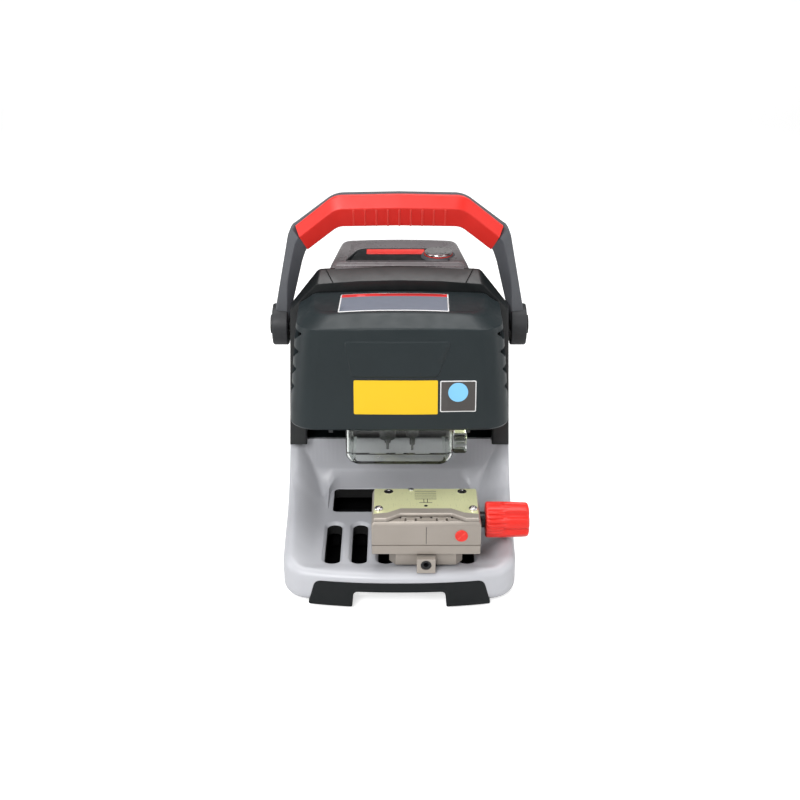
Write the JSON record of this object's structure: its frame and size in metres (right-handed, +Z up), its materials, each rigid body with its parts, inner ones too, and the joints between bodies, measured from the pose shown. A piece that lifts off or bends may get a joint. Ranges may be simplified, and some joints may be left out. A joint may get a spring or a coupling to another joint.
{
  "type": "key duplicating machine",
  "caption": "Portable bench key duplicating machine with folding carry handle, hooded milling head, clear chip shield and a key clamp on a cross slide over a slotted tray.",
  "frame": {"origin": "on the bench under the centre of the footprint", "axes": "+X to the operator's right, +Y to the back of the machine, +Z up; the tray front faces -Y"},
  "size_m": [0.2474, 0.31, 0.334],
  "materials": {
    "cast_grey": "fine textured light grey paint",
    "black_shell": "near-black fine grain",
    "hood_shell": "dark green-black satin",
    "handle_grey": "dark grey grained plastic",
    "red_grip": "red satin rubber",
    "red_plastic": "red satin plastic",
    "clear": "clear moulded plastic",
    "nickel": "warm satin nickel",
    "yellow_zinc": "yellow-green zinc plating",
    "steel": "machined steel",
    "chrome": "bright plated",
    "blackened": "black finish",
    "rubber_black": "black rubber",
    "aluminium": "machined cast aluminium"
  },
  "bodies": {
    "machine_frame": {"base_casting": "cast_grey", "front_skirt": "black_shell", "bottom_plate": "steel", "foot_front_left": "rubber_black", "foot_front_right": "rubber_black", "foot_rear_left": "rubber_black", "foot_rear_right": "rubber_black", "housing_shell": "black_shell", "front_frame": "black_shell", "top_cover": "handle_grey", "console_panel": "black_shell", "accent_strip": "red_plastic", "button_bezel": "chrome", "rear_panel": "handle_grey", "head_hood": "hood_shell", "shield_guide_left": "black_shell", "shield_guide_right": "black_shell", "backbone_casting": "aluminium", "z_rail": "steel", "z_motor": "blackened", "y_rail": "steel", "y_motor": "blackened", "pivot_stud_left": "steel", "pivot_stud_right": "steel"},
    "handle": {"handle_frame": "handle_grey", "handle_grip": "red_grip"},
    "stop_button": {"stop_button": "chrome"},
    "power_rocker": {"power_rocker": "rubber_black"},
    "chip_shield": {"chip_shield": "clear"},
    "milling_head": {"z_carriage": "aluminium", "spindle_housing": "steel", "spindle_motor": "blackened", "tracer": "steel", "drive_belt": "rubber_black"},
    "spindle": {"spindle_shaft": "steel", "cutter": "chrome", "spindle_pulley": "aluminium"},
    "motor_rotor": {"motor_pulley": "aluminium"},
    "z_screw": {"z_screw": "steel"},
    "y_saddle": {"y_saddle": "aluminium", "x_rail": "steel", "x_motor": "blackened"},
    "y_screw": {"y_screw": "steel"},
    "x_table": {"x_table": "aluminium", "clamp_mount": "nickel", "clamp_lug": "nickel", "lug_screw": "blackened", "clamp_body": "nickel", "top_plate": "yellow_zinc", "plate_screw_rear_left": "chrome", "plate_screw_rear_right": "chrome", "plate_screw_front_left": "chrome", "plate_screw_front_right": "chrome", "bridge_plate": "nickel", "badge_disc": "red_plastic"},
    "x_screw": {"x_screw": "steel"},
    "knob": {"jaw_screw": "blackened", "clamp_knob": "red_plastic"},
    "jaw_left": {"jaw_pad_left": "nickel"},
    "jaw_right": {"jaw_pad_right": "nickel"}
  },
  "joints": [
    {"name": "handle_pivot", "type": "hinge", "parent": "machine_frame", "child": "handle", "pos_m": [0, 0.03, 0.204], "axis": [1, 0, 0], "range_deg": [-50, 2]},
    {"name": "stop_button_press", "type": "slide", "parent": "machine_frame", "child": "stop_button", "axis": [0, 0, -1], "range_m": [0, 0.0025], "stiffness_N_per_m": 400},
    {"name": "power_rocker_tilt", "type": "hinge", "parent": "machine_frame", "child": "power_rocker", "pos_m": [-0.035, 0.1465, 0.125], "axis": [1, 0, 0], "range_deg": [-6, 6]},
    {"name": "chip_shield_slide", "type": "slide", "parent": "machine_frame", "child": "chip_shield", "axis": [0, -1, 0], "range_m": [0, 0.03]},
    {"name": "z_slide", "type": "slide", "parent": "machine_frame", "child": "milling_head", "axis": [0, 0, -1], "range_m": [0, 0.024]},
    {"name": "spindle_spin", "type": "hinge", "parent": "milling_head", "child": "spindle", "pos_m": [-0.011, -0.054, 0.17], "axis": [0, 0, 1], "continuous": true},
    {"name": "motor_spin", "type": "hinge", "parent": "milling_head", "child": "motor_rotor", "pos_m": [0.038, -0.036, 0.214], "axis": [0, 0, 1], "continuous": true},
    {"name": "z_screw_spin", "type": "hinge", "parent": "machine_frame", "child": "z_screw", "pos_m": [0, 0.036, 0.176], "axis": [0, 0, 1], "range_deg": [0, 2160]},
    {"name": "y_slide", "type": "slide", "parent": "machine_frame", "child": "y_saddle", "axis": [0, 1, 0], "range_m": [0, 0.032]},
    {"name": "y_screw_spin", "type": "hinge", "parent": "machine_frame", "child": "y_screw", "pos_m": [-0.076, 0, 0.017], "axis": [0, 1, 0], "range_deg": [0, 2880]},
    {"name": "x_slide", "type": "slide", "parent": "y_saddle", "child": "x_table", "axis": [-1, 0, 0], "range_m": [0, 0.04]},
    {"name": "x_screw_spin", "type": "hinge", "parent": "y_saddle", "child": "x_screw", "pos_m": [0, -0.0155, 0.022], "axis": [1, 0, 0], "range_deg": [0, 3600]},
    {"name": "knob_turn", "type": "hinge", "parent": "x_table", "child": "knob", "pos_m": [0.0778, -0.113, 0.07], "axis": [1, 0, 0], "range_deg": [-180, 180]},
    {"name": "jaw_left_slide", "type": "slide", "parent": "x_table", "child": "jaw_left", "axis": [1, 0, 0], "range_m": [-0.0015, 0.0015]},
    {"name": "jaw_right_slide", "type": "slide", "parent": "x_table", "child": "jaw_right", "axis": [-1, 0, 0], "range_m": [-0.0015, 0.0015]}
  ],
  "couplings": [
    {"joint": "motor_spin", "follows": "spindle_spin", "ratio": 1.5},
    {"joint": "z_screw_spin", "follows": "z_slide", "rad_per_m": 1570.8},
    {"joint": "y_screw_spin", "follows": "y_slide", "rad_per_m": 1570.8},
    {"joint": "x_screw_spin", "follows": "x_slide", "rad_per_m": 1570.8},
    {"joint": "knob_turn", "follows": "jaw_left_slide", "rad_per_m": 2094.4},
    {"joint": "jaw_right_slide", "follows": "jaw_left_slide", "ratio": 1}
  ]
}
